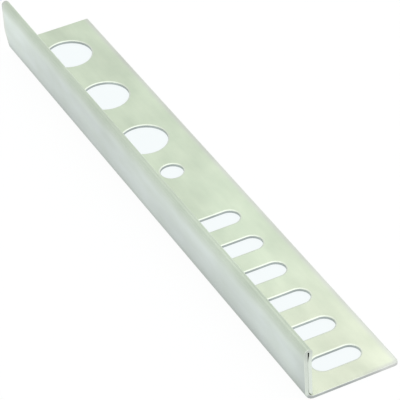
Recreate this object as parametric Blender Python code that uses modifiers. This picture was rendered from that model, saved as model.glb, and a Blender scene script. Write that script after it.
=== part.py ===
# Stainless steel corner profile, which edges a tiled step, floor or wall.
# It is one length of folded sheet. The anchoring leg lies flat and is punched, and the visible leg
# stands along its edge: there the sheet is folded back on itself, so the top ends in a rounded hem.
# Metres, +Z up. X runs along the length, and the visible leg is on the -Y side.
# The origin is in the middle of the length and of the width, on the underside.

import math

import bmesh
import bpy
from mathutils import Matrix, Vector

MM = 0.001

# Overall sizes
LENGTH = 141.2 * MM
WIDTH = 20.8 * MM  # from the visible face to the free edge
HEIGHT = 12.5 * MM

# Sheet and folds
SHEET = 0.75 * MM
BEND_RADIUS = 1.2 * MM  # inside the corner
HEM_RADIUS = 0.2 * MM  # inside the fold at the top
HEM_TAPER = 1.7 * MM  # height over which the folded layer closes on the visible one
SEAM = 0.1 * MM  # gap left between the two layers

# Punching, in one row along the anchoring leg
ROW_OFFSET = 0.45 * MM  # from the middle of the width towards the free edge
FIRST_HOLE = 11.05 * MM  # from the end at -X to the first hole's centre
HOLE_DIAMETER = 10.5 * MM
HOLE_PITCH = 19.4 * MM
HOLES_IN_GROUP = 3
NAIL_HOLE_DIAMETER = 5.0 * MM
NAIL_HOLE_STEP = 13.45 * MM  # from the last large hole
SLOT_WIDTH = 4.6 * MM
SLOT_STEP = 20.6 * MM  # from the nail hole to the first slot
SLOT_PITCH = 10.0 * MM
SLOTS_IN_GROUP = 6
GROUP_GAP = 16.0 * MM  # from the last slot to the next group's first hole, on longer stock
END_WEB = 2.0 * MM  # least sheet between a punched edge and the end of the length
PUNCH_DEPTH = 4 * SHEET  # of each cutter, which passes right through the leg

# Facets of the curved stretches
BEND_FACETS = 12
HEM_FACETS = 16
TAPER_FACETS = 8
HOLE_FACETS = 72
SLOT_FACETS = 48

# Satin stainless steel
STEEL_COLOUR = (0.71, 0.79, 0.69, 1.0)
STEEL_ROUGHNESS = 0.35
STEEL_METALLIC = 1.0


def clear_scene():
    for thing in list(bpy.data.objects):
        bpy.data.objects.remove(thing, do_unlink=True)


def new_collection(name):
    collection = bpy.data.collections.new(name)
    bpy.context.scene.collection.children.link(collection)
    return collection


def satin_steel():
    material = bpy.data.materials.new("satin_stainless_steel")
    material.use_nodes = True
    shader = material.node_tree.nodes["Principled BSDF"]
    shader.inputs["Base Color"].default_value = STEEL_COLOUR
    shader.inputs["Roughness"].default_value = STEEL_ROUGHNESS
    shader.inputs["Metallic"].default_value = STEEL_METALLIC
    return material


def arc(centre, radius, start, end, facets):
    # Points of an arc in the section, from one angle to the other in degrees.
    points = []
    for step in range(facets + 1):
        angle = math.radians(start + (end - start) * step / facets)
        points.append(centre + radius * Vector((math.cos(angle), math.sin(angle))))
    return points


def section_skin():
    # The sheet's outer side, as (distance from the visible face, height): from the free edge along
    # the underside, round the corner, up the visible face, over the hem and down the folded layer,
    # which stops where the bend begins.
    corner = BEND_RADIUS + SHEET
    hem = HEM_RADIUS + SHEET
    hem_base = HEIGHT - hem
    leg = 2 * SHEET + SEAM
    skin = [Vector((WIDTH, 0.0))]
    skin += arc(Vector((corner, corner)), corner, 270, 180, BEND_FACETS)
    skin += arc(Vector((hem, hem_base)), hem, 180, 0, HEM_FACETS)
    for step in range(1, TAPER_FACETS + 1):
        share = step / TAPER_FACETS
        closing = (1 - math.cos(math.pi * share)) / 2
        skin.append(Vector((2 * hem + (leg - 2 * hem) * closing, hem_base - HEM_TAPER * share)))
    skin.append(Vector((leg, corner)))
    return skin


def folded_sheet(collection, material):
    # The skin is drawn along the length as an open surface, and the sheet's thickness is put behind it.
    mesh = bpy.data.meshes.new("corner_profile")
    form = bmesh.new()
    start = [form.verts.new((-LENGTH / 2, point.x - WIDTH / 2, point.y)) for point in section_skin()]
    edges = [form.edges.new(pair) for pair in zip(start, start[1:])]
    drawn = bmesh.ops.extrude_edge_only(form, edges=edges)["geom"]
    ends = [item for item in drawn if isinstance(item, bmesh.types.BMVert)]
    bmesh.ops.translate(form, verts=ends, vec=(LENGTH, 0, 0))
    form.to_mesh(mesh)
    form.free()
    mesh.materials.append(material)
    profile = bpy.data.objects.new("corner_profile", mesh)
    collection.objects.link(profile)
    thickness = profile.modifiers.new("sheet_thickness", "SOLIDIFY")
    thickness.thickness = SHEET
    thickness.offset = -1
    thickness.use_even_offset = True
    return profile


def punched_places():
    # Each hole or slot as (centre from the end at -X, width along the stock, length across it, facets).
    # The group of holes repeats along longer stock, and what would reach the end is left out.
    places = []
    start = FIRST_HOLE
    while start < LENGTH:
        holes = [start + HOLE_PITCH * step for step in range(HOLES_IN_GROUP)]
        nail_hole = holes[-1] + NAIL_HOLE_STEP
        slots = [nail_hole + SLOT_STEP + SLOT_PITCH * step for step in range(SLOTS_IN_GROUP)]
        places += [(place, HOLE_DIAMETER, HOLE_DIAMETER, HOLE_FACETS) for place in holes]
        places.append((nail_hole, NAIL_HOLE_DIAMETER, NAIL_HOLE_DIAMETER, SLOT_FACETS))
        places += [(place, SLOT_WIDTH, HOLE_DIAMETER, SLOT_FACETS) for place in slots]
        start = slots[-1] + GROUP_GAP
    return [place for place in places if place[0] + place[1] / 2 + END_WEB <= LENGTH]


def punch(name, place, width, length, facets, collection):
    # A round punch whose two halves are drawn apart across the row. Its flats touch the true round.
    half_facet = math.pi / facets
    radius = width / 2 / math.cos(half_facet)
    mesh = bpy.data.meshes.new(name)
    form = bmesh.new()
    bmesh.ops.create_cone(
        form,
        cap_ends=True,
        segments=facets,
        radius1=radius,
        radius2=radius,
        depth=PUNCH_DEPTH,
        matrix=Matrix.Rotation(half_facet, 4, "Z"),
    )
    for vert in form.verts:
        vert.co.y += math.copysign((length - width) / 2, vert.co.y)
    form.to_mesh(mesh)
    form.free()
    cutter = bpy.data.objects.new(name, mesh)
    cutter.location = (place - LENGTH / 2, ROW_OFFSET, SHEET / 2)
    cutter.hide_render = True
    cutter.display_type = "WIRE"
    collection.objects.link(cutter)


def main():
    clear_scene()
    parts = new_collection("corner_profile")
    cutters = new_collection("punches")
    cutters.hide_render = True
    profile = folded_sheet(parts, satin_steel())
    for number, (place, width, length, facets) in enumerate(punched_places(), start=1):
        punch(f"punch_{number:02d}", place, width, length, facets, cutters)
    punching = profile.modifiers.new("punching", "BOOLEAN")
    punching.operation = "DIFFERENCE"
    punching.operand_type = "COLLECTION"
    punching.collection = cutters
    punching.solver = "EXACT"


main()
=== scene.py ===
import bmesh
import bpy
import numpy as np
from mathutils import Matrix, Vector


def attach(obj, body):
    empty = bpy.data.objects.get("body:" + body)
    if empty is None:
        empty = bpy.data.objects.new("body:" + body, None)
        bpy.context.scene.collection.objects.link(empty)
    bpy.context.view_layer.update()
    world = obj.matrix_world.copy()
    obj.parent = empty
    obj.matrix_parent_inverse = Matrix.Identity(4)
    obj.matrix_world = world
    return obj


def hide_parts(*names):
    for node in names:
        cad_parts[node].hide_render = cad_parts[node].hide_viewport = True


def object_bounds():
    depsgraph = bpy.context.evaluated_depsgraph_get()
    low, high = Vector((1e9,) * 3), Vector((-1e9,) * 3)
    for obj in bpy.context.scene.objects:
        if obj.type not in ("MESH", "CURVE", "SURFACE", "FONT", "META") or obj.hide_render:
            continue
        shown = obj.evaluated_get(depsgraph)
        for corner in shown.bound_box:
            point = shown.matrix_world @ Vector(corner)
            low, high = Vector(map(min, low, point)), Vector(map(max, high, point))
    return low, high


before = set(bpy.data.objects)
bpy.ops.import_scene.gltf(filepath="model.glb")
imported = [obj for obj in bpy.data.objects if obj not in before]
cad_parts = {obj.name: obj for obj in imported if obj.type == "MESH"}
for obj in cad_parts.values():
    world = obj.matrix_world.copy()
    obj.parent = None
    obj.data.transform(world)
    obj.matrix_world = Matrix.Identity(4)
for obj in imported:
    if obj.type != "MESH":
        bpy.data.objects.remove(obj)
cadLow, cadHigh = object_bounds()
print("frame loaded, box", [round(v, 4) for v in (*cadLow, *cadHigh)])

mm = 0.001
slack = 0.001 * mm  # places that are closer than this are taken as one
leastLength = 1e-12  # that a vector is divided by
placeDecimals = 9  # of a place along X in metres, so that equal ones fall together

# What can be changed on the sheet. Its length, width and height come from the frame.
profile = {
    "node": "corner_profile",
    "slot": "satin_stainless_steel",
    "sheet": 0.75 * mm,
    "bendRadius": 1.2 * mm,  # inside the corner
    "hemRadius": 0.2 * mm,  # inside the fold at the top
    "hemTaper": 2.3 * mm,  # height over which the folded layer closes on the visible one
    "seam": 0.1 * mm,
    "seamSwell": 0.042 * mm,  # each layer's inner side bulges by this, so that the two nearly touch
    "seamEase": 0.6 * mm,  # height over which the visible layer's bulge begins
    "seamFrom": 0.6,  # share of the taper where both bulges begin
    "hemSwell": (0.09 * mm, 0.01 * mm),  # bulges beside the hem's hollow, visible and folded layer
    "hemThinning": 0.07 * mm,  # what the sheet loses at the top of the fold
    "foldClearance": 0.24 * mm,  # between the folded layer's end and the bend's inner side, which it follows
    "edgeBand": 0.7 * mm,  # strip of the flat leg that the free edge's rounding takes
    "planCorners": (0.3 * mm, 1.0 * mm),  # radii of the flat leg's free corners from above, far and near
    "farDraw": 1.9 * mm,  # how far the bend's end is drawn in at the far end, and the leg's foot with it
    "farDrawReach": (4.7 * mm, 7 * mm),  # how far that reaches up and across the sheet, and along it
    "softArris": 0.25 * mm,  # upper arris of the free edge, drawn down by the slitting
    "crispArris": 0.08 * mm,  # the other arrises
    "endArris": 0.05 * mm,  # at both ends of the length
    "seamArris": 0.7,  # share of that on the sides that face the seam
    "weldDistance": 0.002 * mm,
}

# The punching, in one row. Places are along X from the far end.
punching = {
    "rowOffset": 0.45 * mm,
    "firstHole": 11.05 * mm,
    "holeDiameter": 10.5 * mm,
    "holePitch": 19.4 * mm,
    "holeCount": 3,
    "nailHoleStep": 13.45 * mm,
    "nailHoleDiameter": 5.0 * mm,
    "slotStep": 20.6 * mm,
    "slotWidth": 4.6 * mm,
    "slotLength": 10.5 * mm,
    "slotPitch": 10.0 * mm,
    "slotCount": 6,
    "rollWidth": 0.4 * mm,  # the punch draws the upper edge down over this width
    "rollDepth": 0.16 * mm,
    "burnishShare": 0.45,  # upper share of the wall, which the punch leaves smooth
    "breakout": 0.05 * mm,  # the torn lower part of the wall is this much wider
}

# Facets of each stretch, chosen so that the piece stays well under its limit
facets = {
    "acrossLeg": 36,
    "alongPitch": 0.46 * mm,  # about one section in this length
    "throughSheet": 12,
    "bend": 12,
    "leg": 8,
    "hem": 20,
    "taper": 8,
    "folded": 7,
    "roll": 7,
    "wall": 6,
    "plate": 4,
    "plateCrowding": 1.6,  # over 1 it draws the plate's rows towards the punch
    "endArris": 4,
    "edgeBand": 3,
    "planCorner": 4,
    "cornerClear": 1.3,  # radii from the end within which a rounded corner has only sections of its own
}

# Slight unevenness of folded sheet: always inward, so that the piece stays in the frame's box.
unevenness = {
    "legDepth": 0.03 * mm,
    "legWaves": [(31 * mm, 0.7), (18.7 * mm, 2.3), (11.3 * mm, 4.1)],  # wavelength and phase
    "flatDepth": 0.02 * mm,
    "flatWaves": [(37 * mm, 1.9), (22.3 * mm, 0.4), (13.1 * mm, 5.2)],
    "acrossWave": (14 * mm, 0.9),
    "slopeStep": 0.05 * mm,  # over which its slope is taken, for the normals
}

length, width, height = (high - low for low, high in zip(cadLow, cadHigh))
corner = profile["bendRadius"] + profile["sheet"]
hem = profile["hemRadius"] + profile["sheet"]
doubleLeg = 2 * profile["sheet"] + profile["seam"]


def unit(vectors):
    # Each vector divided by its length.
    return vectors / np.maximum(np.linalg.norm(vectors, axis=-1, keepdims=True), leastLength)


def eased(share):
    # 3x^2 - 2x^3, from 0 to 1 and level at both.
    return share * share * (3 - 2 * share)


def swung(share):
    # (1 - cos(pi x)) / 2, from 0 to 1 and level at both, and held there.
    return (1 - np.cos(np.pi * np.clip(share, 0, 1))) / 2


def leftOf(directions):
    # The normal on the left of a direction of travel in the section: (across, up) gives (-up, across).
    return unit(np.stack([-directions[..., 1], directions[..., 0]], -1))


def arc(centre, radius, start, end, count):
    # Points and outward normals of an arc: centre + radius (cos a, sin a), a from start to end in degrees.
    angle = np.radians(np.linspace(start, end, count + 1))
    normals = np.stack([np.cos(angle), np.sin(angle)], -1)
    return np.asarray(centre) + radius * normals, normals


def roundedEdge(cornerA, cornerB, travel, radiusA, radiusB):
    # The sheet's cut edge from one side to the other. Each corner is the parabola
    # (1-t)^2 p + 2t(1-t) corner + t^2 q, and a straight face joins the two. A corner counts as sawn by t,
    # towards the face, and as arris by 4t(1-t).
    cornerA, cornerB, travel = (np.asarray(v, float) for v in (cornerA, cornerB, travel))
    count = facets["throughSheet"]
    third = count // 3
    t = np.linspace(0, 1, third + 1)[:, None]
    face = unit(cornerB - cornerA)

    def turn(p, c, q):
        return (1 - t) ** 2 * p + 2 * t * (1 - t) * c + t ** 2 * q, (1 - t) * (c - p) + t * (q - c)

    pointsA, alongA = turn(cornerA - travel * radiusA, cornerA, cornerA + face * radiusA)
    pointsB, alongB = turn(cornerB - face * radiusB, cornerB, cornerB - travel * radiusB)
    share = np.linspace(0, 1, count - 2 * third + 1)[1:-1, None]
    straight = pointsA[-1] + (pointsB[0] - pointsA[-1]) * share
    points = np.concatenate([pointsA, straight, pointsB])
    normals = leftOf(np.concatenate([alongA, np.repeat(face[None], len(straight), 0), alongB]))
    rise, bump = t[:, 0], 4 * t[:, 0] * (1 - t[:, 0])
    flat = np.ones(len(straight))
    sawn = np.concatenate([rise, flat, rise[::-1]])
    arris = np.concatenate([bump, 0 * flat, bump])
    return {"points": points, "normals": normals, "finish": np.stack([0 * sawn, sawn, arris], -1)}


def foldedSection():
    # The sheet from the bend's start to the folded layer's end, as pairs of points on its outer and inner
    # side: bend arc, straight leg, hem arc, cosine taper, straight folded layer. Across is from the visible
    # face. Below the taper and beside the hem's hollow the inner sides bulge towards each other, and at the
    # hem's top the sheet is thinner. Each fades as (1 - cos) / 2, and round the hem as the squares of cosine
    # and sine.
    hemBase = height - hem
    bendPoints, bendNormals = arc((corner, corner), corner, 270, 180, facets["bend"])
    rise = np.linspace(corner, hemBase, facets["leg"] + 1)[1:]
    legPoints = np.stack([0 * rise, rise], -1)
    legNormals = np.repeat([[-1.0, 0.0]], len(rise), 0)
    hemPoints, hemNormals = arc((hem, hemBase), hem, 180, 0, facets["hem"])
    share = np.linspace(0, 1, facets["taper"] + 1)[1:]
    narrowing = doubleLeg - 2 * hem
    taper = profile["hemTaper"]
    taperPoints = np.stack([2 * hem + narrowing * swung(share), hemBase - taper * share], -1)
    slope = np.stack([narrowing * np.pi / 2 * np.sin(np.pi * share), np.full_like(share, -taper)], -1)
    outer = np.concatenate([bendPoints, legPoints, hemPoints[1:], taperPoints])
    normals = np.concatenate([bendNormals, legNormals, hemNormals[1:], leftOf(slope)])
    share = np.concatenate([
        0 * bendPoints[:, 0],
        np.minimum((rise - corner) / profile["seamEase"], (hemBase - rise) / taper),
        0 * hemPoints[1:, 0],
        share,
    ])
    closed = swung((share - profile["seamFrom"]) / (1 - profile["seamFrom"]))
    beside = 1 - swung(share)
    beside[:len(bendPoints)] = 0
    crown = beside * np.where(outer[:, 1] > hemBase, normals[:, 1] ** 2, 0)
    hemSwell = np.where(normals[:, 0] < 0, *profile["hemSwell"])
    swell = profile["seamSwell"] * closed + hemSwell * (beside - crown) - profile["hemThinning"] * crown
    inner = outer - normals * (profile["sheet"] + swell)[:, None]

    # The folded layer ends on a slant over the bend, a little above the circle's height at each corner.
    def overBend(at):
        circle = corner - np.sqrt(profile["bendRadius"] ** 2 - (corner - at) ** 2)
        return at, circle + profile["foldClearance"]

    top = hemBase - taper
    endOuter = overBend(doubleLeg)
    endInner = overBend(doubleLeg - profile["sheet"] - profile["seamSwell"])
    share = np.linspace(0, 1, facets["folded"] + 1)[1:]
    radius = profile["crispArris"]

    def downTo(end):
        return np.stack([0 * share + end[0], top + (end[1] + radius - top) * share], -1)

    outer = np.concatenate([outer, downTo(endOuter)])
    inner = np.concatenate([inner, downTo(endInner)])
    normals = np.concatenate([normals, leftOf(np.stack([0 * share, -1 + 0 * share], -1))])
    edge = roundedEdge(endOuter, endInner, (0, -1), radius, radius)
    middle = (outer + inner) / 2
    run = np.concatenate([[0], np.cumsum(np.linalg.norm(np.diff(middle, axis=0), axis=1))])
    closed = np.concatenate([closed, np.ones(len(outer) - len(closed))])
    seamShare = 1 - (1 - profile["seamArris"]) * closed
    edge["share"] = np.linspace(1, seamShare[-1], len(edge["points"]))
    return {
        "outer": outer,
        "inner": inner,
        "normals": normals,
        "run": run,
        "edge": edge,
        "seamShare": seamShare,
    }


def freeEdge():
    # The free edge of the flat leg, from its upper side to its lower side.
    top, bottom = (width, profile["sheet"]), (width, 0)
    return roundedEdge(top, bottom, (1, 0), profile["softArris"], profile["crispArris"])


def edgeStrips(edge, across):
    # The flat leg's upper and lower side between its cells and the free edge, in equal steps outward.
    share = np.linspace(0, 1, facets["edgeBand"] + 1)[:-1, None]
    starts = [np.array([across[-1], level]) for level in (profile["sheet"], 0.0)]
    tips = edge["points"][0], edge["points"][-1]
    return [start + (tip - start) * share for start, tip in zip(starts, tips)]


def cells():
    # The flat leg as a row of cells along X: each punched place has one of its own, and plain cells fill the
    # rest. A cell is (start, end, centre or None, half width of the punch, half of its straight run).
    p = punching
    holes = [p["firstHole"] + p["holePitch"] * k for k in range(p["holeCount"])]
    nail = holes[-1] + p["nailHoleStep"]
    slots = [nail + p["slotStep"] + p["slotPitch"] * k for k in range(p["slotCount"])]
    nailHalf = nail - holes[-1] - p["holePitch"] / 2
    run = (p["slotLength"] - p["slotWidth"]) / 2
    punched = [(c, p["holePitch"] / 2, p["holeDiameter"] / 2, 0.0) for c in holes]
    punched.append((nail, nailHalf, p["nailHoleDiameter"] / 2, 0.0))
    punched += [(c, p["slotPitch"] / 2, p["slotWidth"] / 2, run) for c in slots]
    made, place = [], profile["endArris"]
    for centre, half, radius, straight in punched:
        if centre - half > place + slack:
            made.append((place, centre - half, None, 0.0, 0.0))
        made.append((centre - half, centre + half, centre, radius, straight))
        place = centre + half
    made.append((place, length - profile["endArris"], None, 0.0, 0.0))
    return made


def samples(start, end):
    # Places along X in one cell, at about the chosen pitch, and closer together in the rounded corners.
    count = max(2, round((end - start) / facets["alongPitch"]))
    places = np.linspace(start, end, count + 1)
    low, high = profile["endArris"], length - profile["endArris"]
    far, near = (np.linspace(0, radius, facets["planCorner"] + 1)[1:] for radius in profile["planCorners"])
    if start <= low + slack:
        beyond = places[places > low + far[-1] * facets["cornerClear"]]
        places = np.concatenate([places[:1], low + far, beyond])
    if end >= high - slack:
        before = places[places < high - near[-1] * facets["cornerClear"]]
        places = np.concatenate([before, (high - near)[::-1], places[-1:]])
    return places


def stations(cellList):
    # Every place along X, with how far the section is drawn in there and how far the angle of its arris has
    # gone: a quarter circle at each end, (1 - cos a) inward and sin a outward.
    inside = np.concatenate([samples(cell[0], cell[1]) for cell in cellList])
    inside = np.unique(inside.round(placeDecimals))
    angle = np.linspace(0, np.pi / 2, facets["endArris"] + 1)[1:]
    radius = profile["endArris"]
    reach, draw = radius * np.sin(angle), radius * (1 - np.cos(angle))
    place = np.concatenate([(radius - reach)[::-1], inside, length - radius + reach])
    inset = np.concatenate([draw[::-1], 0 * inside, draw])
    turn = np.concatenate([-angle[::-1], 0 * inside, angle])
    return place, inset, turn


def patch(points, normals, place, finish):
    # One grid of the surface. Points are along X from the far end, across from the visible face, and up. The
    # place is along X, along the section and through the sheet. The finish is how much of the surface is
    # punched wall, sawn or slit edge, and arris.
    return {
        "points": points,
        "normals": normals,
        "place": place,
        "finish": np.broadcast_to(finish, points.shape),
    }


def sweep(outline, normals, run, depth, finish, along, share=1.0):
    # An outline of the section carried along X. At the ends it is drawn in along its normal, as a quarter
    # ellipse whose depth is a share of its length, and its normal leans to (share sin a, cos a).
    place, inset, turn = along
    share = np.broadcast_to(share, run.shape)
    flat = outline[None] - normals[None] * (inset[:, None] * share)[..., None]
    x = np.broadcast_to(place[:, None], flat.shape[:2])
    points = np.concatenate([x[..., None], flat], -1)
    leaning = share * np.sin(turn)[:, None]
    upright = np.broadcast_to(np.cos(turn)[:, None], leaning.shape)
    turned = unit(np.concatenate([leaning[..., None], normals[None] * upright[..., None]], -1))
    where = np.stack(np.broadcast_arrays(x, run, depth), -1)
    sine = np.abs(np.sin(turn))
    atEnd = np.stack([0 * sine, sine, np.sin(2 * np.abs(turn))], -1)
    return patch(points, turned, where, np.maximum(finish[None], atEnd[:, None]))


def plainCell(along, across, top):
    # A flat piece of the leg, drawn in at the ends: its height is the sheet or 0, less the station's inset.
    level = profile["sheet"] if top else 0.0
    outline = np.stack([across, 0 * across + level], -1)
    normals = np.repeat([[0.0, 1.0 if top else -1.0]], len(across), 0)
    return sweep(outline, normals, corner - across, level, np.zeros((1, 3)), along)


def punchedCell(start, end, centre, radius, straight, across):
    # A ray goes to each point of the cell's border from the nearest point Q of the punch's middle line. The
    # rim is Q + radius D, with D the ray's direction, and each row lies at its own offset from the rim: upper
    # plate, roll-over (a quarter ellipse), smooth wall, torn wall that widens, lower arris, lower plate.
    p = punching
    x = samples(start, end)
    low, high = across[0], across[-1]
    border = np.concatenate([
        np.stack([x, 0 * x + low], -1)[:-1],
        np.stack([0 * across + end, across], -1)[:-1],
        np.stack([x, 0 * x + high], -1)[::-1][:-1],
        np.stack([0 * across + start, across], -1)[::-1],
    ])
    middle = width / 2 + p["rowOffset"]
    onLine = np.clip(border[:, 1], middle - straight, middle + straight)
    nearest = np.stack([0 * onLine + centre, onLine], -1)
    ray = unit(border - nearest)
    rim = nearest + ray * radius

    # Rows as offset, height, the normal's outward and upward part, and how much is cut face and arris
    sheet, arris = profile["sheet"], profile["crispArris"]
    rollWidth, rollDepth = p["rollWidth"], p["rollDepth"]
    angle = np.linspace(0, np.pi / 2, facets["roll"] + 1)
    sine, cosine = np.sin(angle), np.cos(angle)
    rollRows = [rollWidth * (1 - sine), sheet - rollDepth * (1 - cosine),
                -rollDepth * sine, rollWidth * cosine, sine, np.sin(2 * angle)]
    down = np.linspace(0, 1, facets["wall"] + 1)[1:]
    torn = eased(np.clip((down - p["burnishShare"]) / (1 - p["burnishShare"]), 0, 1))
    one = np.ones_like(down)
    wallTop = sheet - rollDepth
    wallRows = [p["breakout"] * torn, wallTop + (arris - wallTop) * down, -one, 0 * one, one, 0 * one]
    angle = np.linspace(0, np.pi / 2, facets["endArris"] + 1)[1:]
    sine, cosine = np.sin(angle), np.cos(angle)
    lowRows = [p["breakout"] + arris * (1 - cosine), arris * (1 - sine),
               -cosine, -sine, cosine, np.sin(2 * angle)]
    stretches = zip(rollRows, wallRows, lowRows)
    offset, z, outward, upward, cut, bump = (np.concatenate(rows) for rows in stretches)

    # Plate rows join the border to the first and last of those rows, closer together near the punch.
    share = np.linspace(1, 0, facets["plate"] + 1)[:-1] ** facets["plateCrowding"]
    plate = 0 * share
    offset = np.concatenate([plate + offset[0], offset, plate + offset[-1]])
    toBorder = np.concatenate([share, 0 * z, share[::-1]])
    z = np.concatenate([plate + sheet, z, plate])
    outward = np.concatenate([plate, outward, plate])
    upward = np.concatenate([plate + 1, upward, plate - 1])
    finish = np.stack([np.concatenate([plate, rows, plate]) for rows in (cut, 0 * cut, bump)], -1)

    flat = (rim[:, None] + ray[:, None] * offset[None, :, None]) * (1 - toBorder)[None, :, None]
    flat = flat + border[:, None] * toBorder[None, :, None]
    up = np.broadcast_to(z, flat.shape[:2])
    points = np.concatenate([flat, up[..., None]], -1)
    side = ray[:, None] * outward[None, :, None]
    normals = unit(np.concatenate([side, np.broadcast_to(upward, up.shape)[..., None]], -1))
    where = np.stack([flat[..., 0], corner - flat[..., 1], up], -1)
    return patch(points, normals, where, finish[None])


def endCap(section, edge, across, far):
    # The sheet's section at one end as a grid: each column goes through the sheet from its outer to its
    # inner side, and the first and last columns are the two cut edges.
    count = facets["throughSheet"]
    inset = profile["endArris"]
    share = np.linspace(0, 1, count + 1)[:, None]

    def column(outer, inner, outerNormal, seamShare=1.0):
        first, last = outer - outerNormal * inset, inner + outerNormal * inset * seamShare
        return first + (last - first) * share

    sheet = profile["sheet"]
    down = np.array([0.0, -1.0])
    free = (edge["points"] - edge["normals"] * inset)[::-1]
    above, below = (strip[:0:-1] for strip in edgeStrips(edge, across))
    flat = [column(low, high, down) for low, high in zip(below, above)]
    flat += [column(np.array([at, 0.0]), np.array([at, sheet]), down) for at in across[::-1]]
    sides = (section[key][1:] for key in ("outer", "inner", "normals", "seamShare"))
    folded = [column(*values) for values in zip(*sides)]
    fold = section["edge"]
    last = fold["points"] - fold["normals"] * inset * fold["share"][:, None]
    columns = np.stack([free, *flat, *folded[:-1], last])
    side = np.full(columns.shape[:2], 0.0 if far else length)
    points = np.concatenate([side[..., None], columns], -1)
    normals = np.zeros_like(points)
    normals[..., 0] = -1.0 if far else 1.0
    flatRun = corner - np.concatenate([[width], below[:, 0], across[::-1]])
    run = np.concatenate([flatRun, section["run"][1:]])
    where = np.stack(np.broadcast_arrays(side, run[:, None], sheet * share[:, 0]), -1)
    return patch(points, normals, where, np.array([0.0, 1.0, 0.0]))


def sheetPatches():
    # All the patches of the folded and punched sheet. Neighbours share the points of their borders.
    section, edge = foldedSection(), freeEdge()
    cellList = cells()
    along = stations(cellList)
    across = np.linspace(corner, width - profile["edgeBand"], facets["acrossLeg"] + 1)
    sheet = profile["sheet"]

    plain = np.zeros(len(section["outer"]))
    bare = np.zeros((len(plain) - 1, 3))
    fold = section["edge"]
    outline = np.concatenate([section["outer"][:-1], fold["points"], section["inner"][:-1][::-1]])
    normals = np.concatenate([section["normals"][:-1], fold["normals"], -section["normals"][:-1][::-1]])
    through = sheet * np.linspace(0, 1, len(fold["points"]))
    run = np.concatenate([section["run"][:-1], section["run"][-1] + 0 * through, section["run"][:-1][::-1]])
    depth = np.concatenate([plain[:-1], through, plain[:-1] + sheet])
    finish = np.concatenate([bare, fold["finish"], bare])
    share = np.concatenate([1 + plain[:-1], fold["share"], section["seamShare"][:-1][::-1]])
    patches = [sweep(outline, normals, run, depth, finish, along, share)]

    # The strip beside the free edge: its upper side, the edge itself and its lower side.
    upper, lower = edgeStrips(edge, across)
    lower = lower[::-1]
    outline = np.concatenate([upper, edge["points"], lower])
    normals = np.concatenate([upper * 0 + (0.0, 1.0), edge["normals"], lower * 0 + (0.0, -1.0)])
    depth = np.concatenate([upper[:, 0] * 0 + sheet, through[::-1], lower[:, 0] * 0])
    bare = np.zeros((len(upper), 3))
    finish = np.concatenate([bare, edge["finish"], bare])
    patches.append(sweep(outline, normals, corner - outline[:, 0], depth, finish, along))

    for start, end, centre, radius, straight in cellList:
        if centre is not None:
            patches.append(punchedCell(start, end, centre, radius, straight, across))
            continue
        low = 0.0 if start <= profile["endArris"] + slack else start
        high = length if end >= length - profile["endArris"] - slack else end
        inside = (along[0] >= low - slack) & (along[0] <= high + slack)
        own = tuple(values[inside] for values in along)
        patches += [plainCell(own, across, True), plainCell(own, across, False)]
    patches += [endCap(section, edge, across, True), endCap(section, edge, across, False)]
    sectionPoints = len(section["outer"])
    print("sheet:", len(patches), "patches,", len(along[0]), "stations,", sectionPoints, "section points")
    return patches


def unevenShift(points):
    # Displacement of a point: the leg leans in by a sum of waves along X that grows with height, and the flat
    # leg lifts by waves along X and across. Both stay between 0 and their depth. At the flat leg's free
    # corners the square of side R, seen from above, is drawn in to a quarter disc: the offset d from the
    # square's inner corner becomes d max|d| / |d|. At the far end the bend and what is beside it move inward
    # along X, by a depth that fades with the distance from the corner as 1 - 3d^2 + 2d^3 and with the
    # distance from the end as (1 - x)^2.
    def ripple(x, waves):
        total = sum(np.cos(2 * np.pi * x / wavelength + phase) for wavelength, phase in waves)
        return 0.5 + 0.5 * total / len(waves)

    u = unevenness
    rise = np.clip((points[:, 2] - corner) / (height - corner), 0, 1)
    reach = np.clip((points[:, 1] - corner) / (width - corner), 0, 1)
    lean = u["legDepth"] * ripple(points[:, 0], u["legWaves"]) * eased(rise)
    wavelength, phase = u["acrossWave"]
    roll = 0.5 - 0.5 * np.cos(2 * np.pi * points[:, 1] / wavelength + phase)
    lift = u["flatDepth"] * ripple(points[:, 0], u["flatWaves"]) * eased(reach) * roll
    low = points[:, 2] < corner
    shift = np.stack([0 * lean, lean, np.where(low, lift, 0)], -1)

    near = points[:, 0] > length / 2
    radius = np.where(near, profile["planCorners"][1], profile["planCorners"][0])
    side = np.where(near, 1.0, -1.0)
    fromMiddle = np.abs(points[:, 0] - length / 2)
    offset = np.stack([fromMiddle - length / 2 + radius, points[:, 1] - width + radius], -1)
    offset = np.maximum(offset, 0)
    inCorner = (offset.min(1) > 0)[:, None]
    distance = np.maximum(np.linalg.norm(offset, axis=1), slack)
    drawn = offset * (offset.max(1) / distance)[:, None] - offset
    shift[:, :2] += np.where(inCorner, drawn, 0) * np.stack([side, np.ones_like(side)], -1)

    reachRound, reachAlong = profile["farDrawReach"]
    away = np.maximum(points[:, 1] - doubleLeg, points[:, 2] - profile["sheet"])
    fromCorner = np.clip(away / reachRound, 0, 1)
    fromEnd = np.clip(points[:, 0] / reachAlong, 0, 1)
    shift[:, 0] += profile["farDraw"] * (1 - eased(fromCorner)) * (1 - fromEnd) ** 2
    return shift


def unevenNormals(points, normals):
    # Where p moves to p + d(p), a normal turns by the inverse transpose of the matrix I + dd/dp. But for a
    # factor, the columns of that inverse transpose are the cross products of the matrix's own columns.
    step = unevenness["slopeStep"]
    columns = []
    for axis in np.eye(3):
        change = unevenShift(points + axis * step) - unevenShift(points - axis * step)
        columns.append(axis + change / (2 * step))
    turned = sum(np.cross(columns[k - 2], columns[k - 1]) * normals[:, k:k + 1] for k in range(3))
    return unit(turned)


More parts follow.
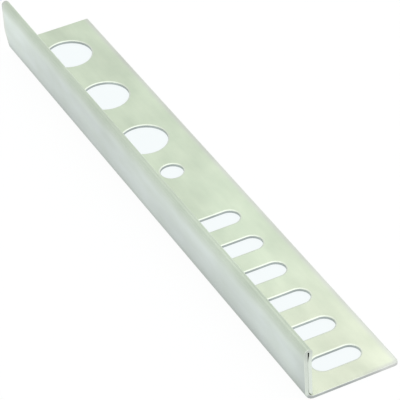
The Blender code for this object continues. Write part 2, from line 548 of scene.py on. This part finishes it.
def joinPatches(name, patches):
    # Each patch's cells become quads that face along its normals, and what neighbours share is welded.
    quads, start = [], 0
    for grid in patches:
        rows, columns = grid["points"].shape[:2]
        index = start + np.arange(rows * columns).reshape(rows, columns)
        around = index[:-1, :-1], index[1:, :-1], index[1:, 1:], index[:-1, 1:]
        quads.append(np.stack(around, -1).reshape(-1, 4))
        start += rows * columns
    quads = np.concatenate(quads)
    joined = {}
    for key in patches[0]:
        joined[key] = np.concatenate([grid[key].reshape(-1, 3) for grid in patches])
    ends = joined["points"][quads]
    facing = np.cross(ends[:, 2] - ends[:, 0], ends[:, 3] - ends[:, 1])
    wrong = (facing * joined["normals"][quads].sum(1)).sum(1) < 0
    quads[wrong] = quads[wrong][:, ::-1]

    normals = unevenNormals(joined["points"], joined["normals"])
    points = joined["points"] + unevenShift(joined["points"])
    points = points + np.array([cadLow.x, cadLow.y, cadLow.z])

    mesh = bpy.data.meshes.new(name)
    mesh.from_pydata(points.tolist(), [], quads.tolist())
    attributes = {"surfaceNormal": normals, "sheetPlace": joined["place"], "finish": joined["finish"]}
    for key, values in attributes.items():
        attribute = mesh.attributes.new(key, "FLOAT_VECTOR", "POINT")
        attribute.data.foreach_set("vector", values.astype(np.float32).ravel())

    welded = bmesh.new()
    welded.from_mesh(mesh)
    bmesh.ops.remove_doubles(welded, verts=welded.verts, dist=profile["weldDistance"])
    openEdges = sum(not edge.is_manifold for edge in welded.edges)
    welded.to_mesh(mesh)
    welded.free()
    mesh.shade_smooth()
    kept = np.zeros(len(mesh.vertices) * 3, np.float32)
    mesh.attributes["surfaceNormal"].data.foreach_get("vector", kept)
    mesh.normals_split_custom_set_from_vertices(kept.reshape(-1, 3).tolist())
    mesh.attributes.remove(mesh.attributes["surfaceNormal"])
    piece = bpy.data.objects.new(name, mesh)
    bpy.context.scene.collection.objects.link(piece)
    print(name, "has", len(mesh.loops) - 2 * len(mesh.polygons), "triangles and", openEdges, "open edges")
    return piece


class Value:
    # One output of a node. A sum or product with it adds the Math node and gives that node's output back.
    def __init__(self, graph, socket):
        self.graph = graph
        self.socket = socket

    def operate(self, operation, first, second):
        return self.graph.add("ShaderNodeMath", {"operation": operation}, {0: first, 1: second})

    def __add__(self, other):
        return self.operate("ADD", self, other)

    def __sub__(self, other):
        return self.operate("SUBTRACT", self, other)

    def __rsub__(self, other):
        return self.operate("SUBTRACT", other, self)

    def __mul__(self, other):
        return self.operate("MULTIPLY", self, other)

    __radd__ = __add__
    __rmul__ = __mul__


class Graph:
    # The nodes of one material or world.
    def __init__(self, tree):
        self.tree = tree
        tree.nodes.clear()

    def add(self, kind, settings=None, values=None, output=0):
        # Any node: its settings first, a ramp's stops among them, then the values or links of its sockets.
        node = self.tree.nodes.new(kind)
        for key, value in (settings or {}).items():
            if key == "stops":
                ramp = node.color_ramp.elements
                while len(ramp) < len(value):
                    ramp.new(0.5)
                for element, (position, colour) in zip(ramp, value):
                    element.position = position
                    element.color = (*colour, 1.0)
            else:
                setattr(node, key, value)
        for key, value in (values or {}).items():
            if isinstance(value, Value):
                self.tree.links.new(value.socket, node.inputs[key])
            else:
                node.inputs[key].default_value = value
        return Value(self, node.outputs[output]) if len(node.outputs) else None

    def parts(self, vector):
        # The three components of a vector.
        first = self.add("ShaderNodeSeparateXYZ", {}, {0: vector})
        return [Value(self, socket) for socket in first.socket.node.outputs]

    def fade(self, value, low, high):
        # 0 at low and below, 1 at high and above, smooth between.
        settings = {"interpolation_type": "SMOOTHSTEP"}
        return self.add("ShaderNodeMapRange", settings, {0: value, 1: low, 2: high})

    def toned(self, colour, level):
        # A colour times a number.
        return self.add("ShaderNodeVectorMath", {"operation": "SCALE"}, {0: colour, "Scale": level})

    def colourMix(self, factor, first, second, blend="MIX"):
        # Colours are mixed with the Mix node, whose colour sockets are the 7th and 8th.
        settings = {"data_type": "RGBA", "blend_type": blend}
        return self.add("ShaderNodeMix", settings, {0: factor, 6: first, 7: second}, output=2)


satinSteel = {
    # The skin: in general; with a lighter, warmer painted sheen towards the near end of the flat leg; and
    # with a bluer painted reflection low on the visible leg
    "green": (0.68, 0.79, 0.63, 1.0),
    "warmSheen": (0.77, 0.83, 0.675, 1.0),
    "coolReflection": (0.67, 0.74, 0.71, 1.0),
    "warmSheenShare": (0.15, 0.95),  # of the warmer painted sheen, at the far end and at the near one
    "warmSheenFrom": 0.62,  # share of the length from which it grows
    "coolFrom": (1.2 * mm, 2.4 * mm),  # distance from the bend's start over which the bluer painted reflection comes in
    "coolTo": (9.0 * mm, 15.0 * mm),  # and over which it goes
    "coolReflectionShare": 0.92,
    "hueSwing": 3.0,  # how much of the mottles' tone the two shares follow
    # Painted shading of the skin: its level by the distance from the bend's start in mm, through the leg and
    # over the hem, with painted shade deepest low on the bend and over the hem
    "shadingLevels": [(0.0, 0.985), (1.7, 0.5), (2.3, 0.655), (3.2, 0.785), (5.0, 0.855), (7.5, 0.89), (10.3, 0.91),
               (11.3, 0.86), (11.8, 0.82), (12.2, 0.81), (12.6, 1.0), (12.93, 0.857), (13.15, 0.937),
               (13.3, 0.957), (13.6, 0.94), (15.6, 1.0)],
    "levelSpan": 24.0,  # mm that this list and the one below are spread over
    "farLight": 0.07,  # painted light: the visible leg is this much lighter at its far end, up to these places
    "farLightTo": (6 * mm, 16 * mm),
    "nearShade": 0.11,  # and, as painted shade, darker over this reach of its near end
    "nearShadeReach": 7 * mm,
    "edgeShadeGrey": (0.71, 0.745, 0.69, 1.0),  # painted shade: the skin greyer and darker beside the slit edge and at the tips of both legs
    "edgeReach": 1.6 * mm,
    "tipReach": 1.6 * mm,  # at the visible leg's far end
    "nearLight": 0.1,  # painted light: the flat leg is this much lighter at its near end, towards the free edge
    "nearLightReach": 9 * mm,
    "nearTipReach": 1.2 * mm,
    "nearTipShade": 0.09,  # and painted shade makes it this much darker right beside the cut
    "creviceShade": 0.4,  # painted shade: level on the inner side, in the fold's cleft and in the hem
    "creviceFrom": (0.5 * mm, 1.1 * mm),  # distances over which it comes in, from the bend's start
    "creviceDepth": (0.3 * mm, 0.6 * mm),  # and through the sheet
    # Cut faces: punched walls, duller and with painted shade, and the ends and the slit edge from the outer
    # to the inner side of the sheet, darker towards the outer side as painted shade
    "punched": (0.46, 0.495, 0.485, 1.0),
    "sawnShadedOuter": (0.43, 0.46, 0.45, 1.0),
    "sawnDepth": (0.42 * mm, 1.02 * mm),  # over which it gives way to the next colour
    "sawn": (0.86, 0.88, 0.86, 1.0),
    "sawnFree": (0.68, 0.69, 0.67, 1.0),  # towards the free edge
    "sawnFreeReach": 12 * mm,
    "sawnFreeShare": 0.9,
    "sawnLegReflection": (0.757, 0.814, 0.747, 1.0),  # painted reflection on the visible leg's ends
    # Painted shading of the cut faces: their level by the same distance in mm, painted shade lowest round the
    # hem's hollow
    "sawnShadingLevels": [(2.0, 0.97), (3.0, 0.92), (10.0, 0.895), (11.8, 0.77), (13.2, 0.78), (13.9, 0.85),
                   (15.6, 1.0)],
    "polishedSheen": (0.91, 0.98, 0.86, 1.0),  # arrises that the tool's burnish brightens, lighter also as a painted highlight
    "arrisShare": 0.7,
    "tipArrisLoss": 0.6,  # what of that is lost at the near tip
    "roughness": 0.36,
    "cutRoughness": 0.5,
    "polishedRoughness": 0.28,
    # Noises: length and width of their cells, how much of the tone they make, and the cell they start in
    "noises": {
        "grain": {"size": (9 * mm, 0.10 * mm), "strength": 0.04, "detail": 3.0},
        "streak": {"size": (60 * mm, 1.1 * mm), "strength": 0.05},
        "mottle": {"size": (7 * mm, 3.5 * mm), "strength": 0.17},
        "legPatch": {"size": (42 * mm, 9 * mm), "strength": 0.47, "start": (83.48, 151.12, 0.0)},
        "flatPatch": {"size": (34 * mm, 16 * mm), "strength": 0.53, "start": (93.06, 150.99, 0.0)},
        "rough": {"size": (0.12 * mm, 0.12 * mm), "strength": 0.3, "detail": 3.0},
    },
    "cutMottle": 3.5,  # how much more the cut faces follow the mottles
    "grainDepth": 0.0010 * mm,
    "cutDepth": 0.004 * mm,
}


def noiseOn(graph, place, size, strength, start=(0.0, 0.0, 0.0), detail=2.0):
    # Noise about 0. Its cells measure size = (along, across) in metres, counted from the starting cell.
    scale = (1 / size[0], 1 / size[1], 1 / size[1])
    values = {0: place, 1: scale, 2: start}
    stretched = graph.add("ShaderNodeVectorMath", {"operation": "MULTIPLY_ADD"}, values)
    noise = graph.add("ShaderNodeTexNoise", {}, {"Vector": stretched, "Scale": 1.0, "Detail": detail})
    return (noise - 0.5) * strength


def satinSteelMaterial():
    # Brushed skin with soft patches and streaks along the stock, duller sheared faces and arrises brightened
    # by burnish, with painted shading across the section, painted reflections and shade by place, painted
    # shade on the cut faces and painted highlights on the arrises.
    s = satinSteel
    material = bpy.data.materials.new("satinSteel")
    material.use_nodes = True
    graph = Graph(material.node_tree)
    place = graph.add("ShaderNodeAttribute", {"attribute_name": "sheetPlace"}, output=1)
    finish = graph.add("ShaderNodeAttribute", {"attribute_name": "finish"}, output=1)
    along, run, depth = graph.parts(place)
    punched, sawn, arris = graph.parts(finish)
    cut = punched + sawn
    noise = {key: noiseOn(graph, place, **values) for key, values in s["noises"].items()}

    def levelled(shadingLevels):
        # A grey level by the distance along the section: painted shading.
        stops = [(at / s["levelSpan"], (level,) * 3) for at, level in shadingLevels]
        return graph.add("ShaderNodeValToRGB", {"stops": stops}, {0: run * (1 / (s["levelSpan"] * mm))})

    # Masks: the visible leg, low on it, towards the near end, beside the slit edge, the two tips, the cleft;
    # most of them place painted light and shade
    upLeg = graph.fade(run, *s["coolFrom"])
    flat = 1 - upLeg
    lowLeg = upLeg * (1 - graph.fade(run, *s["coolTo"]))
    # painted sheen: the flat leg lighter and warmer towards its near end
    nearSheen = graph.fade(along, s["warmSheenFrom"] * length, length) * flat
    slit = corner - width
    besideSlit = 1 - graph.fade(run, slit, slit + s["edgeReach"])
    nearSlit = 1 - graph.fade(run, slit, slit + s["sawnFreeReach"])
    farTip = (1 - graph.fade(along, 0.0, s["tipReach"])) * upLeg
    nearTip = graph.fade(along, length - s["nearTipReach"], length) * nearSlit
    cleft = graph.fade(run, *s["creviceFrom"]) * graph.fade(depth, *s["creviceDepth"])

    # The skin: its tone is near 1, with painted light and shade by place, and its colour goes by place
    tone = 1 + noise["grain"] + noise["streak"] + noise["mottle"]
    tone = tone + noise["legPatch"] * upLeg + noise["flatPatch"] * flat
    # painted light at the visible leg's far end, and painted shade at its near end
    tone = tone + lowLeg * (1 - graph.fade(along, *s["farLightTo"])) * s["farLight"]
    tone = tone - lowLeg * graph.fade(along, length - s["nearShadeReach"], length) * s["nearShade"]
    # painted light on the flat leg's near end, and painted shade right beside its cut
    tone = tone + nearSlit * graph.fade(along, length - s["nearLightReach"], length) * s["nearLight"]
    tone = tone - nearTip * s["nearTipShade"]
    # painted shade on the inner side, in the fold's cleft and in the hem
    tone = tone * (1 - cleft * (1 - s["creviceShade"]))
    hueSwing = noise["mottle"] * s["hueSwing"]
    least, most = s["warmSheenShare"]
    # painted reflections: a lighter, warmer sheen towards the near end, and a bluer reflection of the shaded
    # floor low on the visible leg
    skin = graph.colourMix(least + nearSheen * (most - least) + hueSwing, s["green"], s["warmSheen"])
    skin = graph.colourMix(lowLeg * (s["coolReflectionShare"] + hueSwing), skin, s["coolReflection"])
    # painted shade: a greyer, darker band beside the slit edge and at both tips
    skin = graph.colourMix(besideSlit + farTip + nearTip, skin, s["edgeShadeGrey"])
    # painted shading: the skin's colour times the painted level across the section
    skin = graph.toned(graph.colourMix(1.0, skin, levelled(s["shadingLevels"]), "MULTIPLY"), tone)

    # The cut faces, with painted shade, and then the arrises over both, with a painted highlight
    # painted shade: the cut faces darker towards the sheet's outer side, by the floor
    edge = graph.colourMix(graph.fade(depth, *s["sawnDepth"]), s["sawnShadedOuter"], s["sawn"])
    edge = graph.colourMix(nearSlit * s["sawnFreeShare"], edge, s["sawnFree"])
    # painted shading of the visible leg's ends: painted reflection, and painted shade round the hem's hollow
    legEndShading = graph.colourMix(1.0, levelled(s["sawnShadingLevels"]), s["sawnLegReflection"], "MULTIPLY")
    edge = graph.colourMix(upLeg, edge, legEndShading)
    # the punched walls: a duller torn face, and painted shade of the hole
    edge = graph.colourMix(punched, edge, s["punched"])
    edge = graph.toned(edge, 1 + noise["rough"] + noise["mottle"] * s["cutMottle"] * flat)
    colour = graph.colourMix(cut, skin, edge)
    # burnish and painted highlight: the arrises and roll-overs lighter
    burnishAndSheen = arris * s["arrisShare"] * (1 - nearTip * s["tipArrisLoss"])
    colour = graph.colourMix(burnishAndSheen, colour, s["polishedSheen"])

    skinRoughness = s["roughness"] + noise["streak"] + noise["grain"]
    roughness = skinRoughness * (1 - cut) + cut * s["cutRoughness"]
    roughness = roughness * (1 - arris) + arris * s["polishedRoughness"]

    # Heights are counted in each noise's strength
    grainBump = graph.add("ShaderNodeBump", {}, {
        "Distance": s["grainDepth"] / s["noises"]["grain"]["strength"],
        "Height": noise["grain"] * (1 - cut),
    })
    bumped = graph.add("ShaderNodeBump", {}, {
        "Distance": s["cutDepth"] / s["noises"]["rough"]["strength"],
        "Height": noise["rough"] * cut,
        "Normal": grainBump,
    })
    shader = graph.add("ShaderNodeBsdfPrincipled", {}, {
        "Base Color": colour,
        "Metallic": 1.0,
        "Roughness": roughness,
        "Normal": bumped,
    })
    graph.add("ShaderNodeOutputMaterial", {}, {"Surface": shader})
    return material


studio = {
    "floorSize": 30.0,
    "floorDrop": 0.02 * mm,  # keeps the floor clear of the underside
    "floorColour": (0.92, 0.97, 0.98, 1.0),
    "floorGlow": 0.94,  # share of a plain glow in what the camera, gloss and glass see of the floor
    "glowColour": (1.0, 1.0, 1.0, 1.0),
    "shadedGlowBelow": (0.92, 0.965, 0.975, 1.0),  # painted shade under the sheet, where the punching shows it
    "glowMargin": (1.5 * mm, 3.5 * mm),  # inward from the profile's outline
    "keySide": (0.50, 0.30, 0.81),  # the side that the dome is brightest on
    # Level of the dome by the cosine to that side
    "dome": [(-1.0, 0.76), (-0.55, 0.79), (-0.25, 0.82), (0.0, 0.74), (0.12, 0.722), (0.25, 0.722),
             (0.42, 0.96), (0.66, 0.92), (0.82, 1.32), (1.0, 1.36)],
    # Lamps: place, size and power in watts. The first lights the floor before the visible leg, and the second
    # is what the near half of the flat leg reflects.
    "lamps": {
        "frontLamp": ((0.3, -1.0, 0.8), 0.7, 2.6),
        "sheenLamp": ((-0.54, 0.36, 1.0), 0.8, 0.62),
    },
    "lampColour": (1.0, 0.98, 0.94),
}


def seenDirectly(graph):
    # 1 for what the camera, gloss and glass see, 0 for the light that falls on things.
    rays = graph.add("ShaderNodeLightPath").socket.node.outputs
    names = ("Is Camera Ray", "Is Glossy Ray", "Is Transmission Ray")
    camera, glossy, clear = (Value(graph, rays[name]) for name in names)
    return graph.add("ShaderNodeClamp", {}, {0: camera + glossy + clear, 1: 0.0, 2: 1.0})


def makeFloor():
    # A flat square under the profile, with its upper side showing.
    half = studio["floorSize"] / 2
    level = cadLow.z - studio["floorDrop"]
    corners = [(x * half, y * half, level) for x, y in ((-1, -1), (1, -1), (1, 1), (-1, 1))]
    mesh = bpy.data.meshes.new("floor")
    mesh.from_pydata(corners, [], [(0, 1, 2, 3)])
    floor = bpy.data.objects.new("floor", mesh)
    bpy.context.scene.collection.objects.link(floor)
    material = bpy.data.materials.new("paleFloor")
    material.use_nodes = True
    graph = Graph(material.node_tree)
    direct = seenDirectly(graph)
    matt = graph.add("ShaderNodeBsdfDiffuse", {}, {"Color": studio["floorColour"]})
    # Inward distance from the outline along X and across, by the absolute value of the place on the floor
    onFloor = graph.add("ShaderNodeTexCoord", {}, {}, output=3)
    fromMiddle = graph.parts(graph.add("ShaderNodeVectorMath", {"operation": "ABSOLUTE"}, {0: onFloor}))
    inLength, inWidth = (
        graph.fade(size / 2 - away, *studio["glowMargin"]) for size, away in zip((length, width), fromMiddle)
    )
    # painted shade: the floor's glow darker and bluer under the sheet, seen through the punching
    colour = graph.colourMix(inLength * inWidth, studio["glowColour"], studio["shadedGlowBelow"])
    glow = graph.add("ShaderNodeEmission", {}, {"Color": colour, "Strength": 1.0})
    both = graph.add("ShaderNodeMixShader", {}, {0: direct * studio["floorGlow"], 1: matt, 2: glow})
    graph.add("ShaderNodeOutputMaterial", {}, {"Surface": both})
    mesh.materials.append(material)


def makeSky():
    # A soft pale dome, brighter towards one side.
    world = bpy.data.worlds.new("studioDome")
    bpy.context.scene.world = world
    world.use_nodes = True
    graph = Graph(world.node_tree)
    direction = graph.add("ShaderNodeTexCoord")
    settings = {"operation": "DOT_PRODUCT"}
    facing = graph.add("ShaderNodeVectorMath", settings, {0: direction, 1: studio["keySide"]}, output=1)
    peak = max(level for cosine, level in studio["dome"])
    stops = [((1 + cosine) / 2, (level / peak,) * 3) for cosine, level in studio["dome"]]
    dome = graph.add("ShaderNodeValToRGB", {"stops": stops}, {0: facing * 0.5 + 0.5})
    background = graph.add("ShaderNodeBackground", {}, {"Color": dome, "Strength": peak})
    graph.add("ShaderNodeOutputWorld", {}, {"Surface": background})


def makeLamps():
    # Square soft lamps, turned to the profile.
    for name, (place, size, power) in studio["lamps"].items():
        light = bpy.data.lights.new(name, "AREA")
        light.shape = "SQUARE"
        light.size = size
        light.energy = power
        light.color = studio["lampColour"]
        lamp = bpy.data.objects.new(name, light)
        lamp.location = place
        lamp.rotation_euler = (-Vector(place)).to_track_quat("-Z", "Y").to_euler()
        bpy.context.scene.collection.objects.link(lamp)


photoView = {
    # Degrees round the profile, above the floor, and about the line of sight
    "azimuth": 65.038,
    "elevation": 37.450,
    "roll": -3.914,
    "aim": (11.446 * mm, -2.139 * mm, 6.25 * mm),
    "distance": 525.61 * mm,
    "lens": 228.49,  # focal length and sensor's width, in Blender's own mm
    "sensor": 36.0,
    "clip": (0.01, 20.0),  # nearest and farthest that it sees, in metres
}


def makeCamera():
    # Back along azimuth and elevation from the aim; right and up are turned by the roll.
    v = photoView
    azimuth, elevation, roll = (np.radians(v[k]) for k in ("azimuth", "elevation", "roll"))
    level = Vector((np.cos(azimuth), np.sin(azimuth), 0.0))
    levelPart = np.cos(elevation)
    back = Vector((np.sin(azimuth) * levelPart, -np.cos(azimuth) * levelPart, np.sin(elevation)))
    above = back.cross(level)
    right = level * np.cos(roll) + above * np.sin(roll)
    up = above * np.cos(roll) - level * np.sin(roll)
    data = bpy.data.cameras.new("photoCamera")
    data.lens = v["lens"]
    data.sensor_width = v["sensor"]
    data.clip_start, data.clip_end = v["clip"]
    camera = bpy.data.objects.new("photoCamera", data)
    turned = Matrix((right, up, back)).transposed().to_4x4()
    camera.matrix_world = Matrix.Translation(Vector(v["aim"]) + back * v["distance"]) @ turned
    bpy.context.scene.collection.objects.link(camera)
    bpy.context.scene.camera = camera


def main():
    makeCamera()
    print("camera placed")
    sheet = joinPatches("profileSheet", sheetPatches())
    sheet.data.materials.append(satinSteelMaterial())
    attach(sheet, "root")
    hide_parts(profile["node"])
    print("sheet built and finished")
    makeFloor()
    makeSky()
    makeLamps()
    bpy.context.scene.view_settings.view_transform = "Standard"
    print("floor, dome and lamps set")


main()
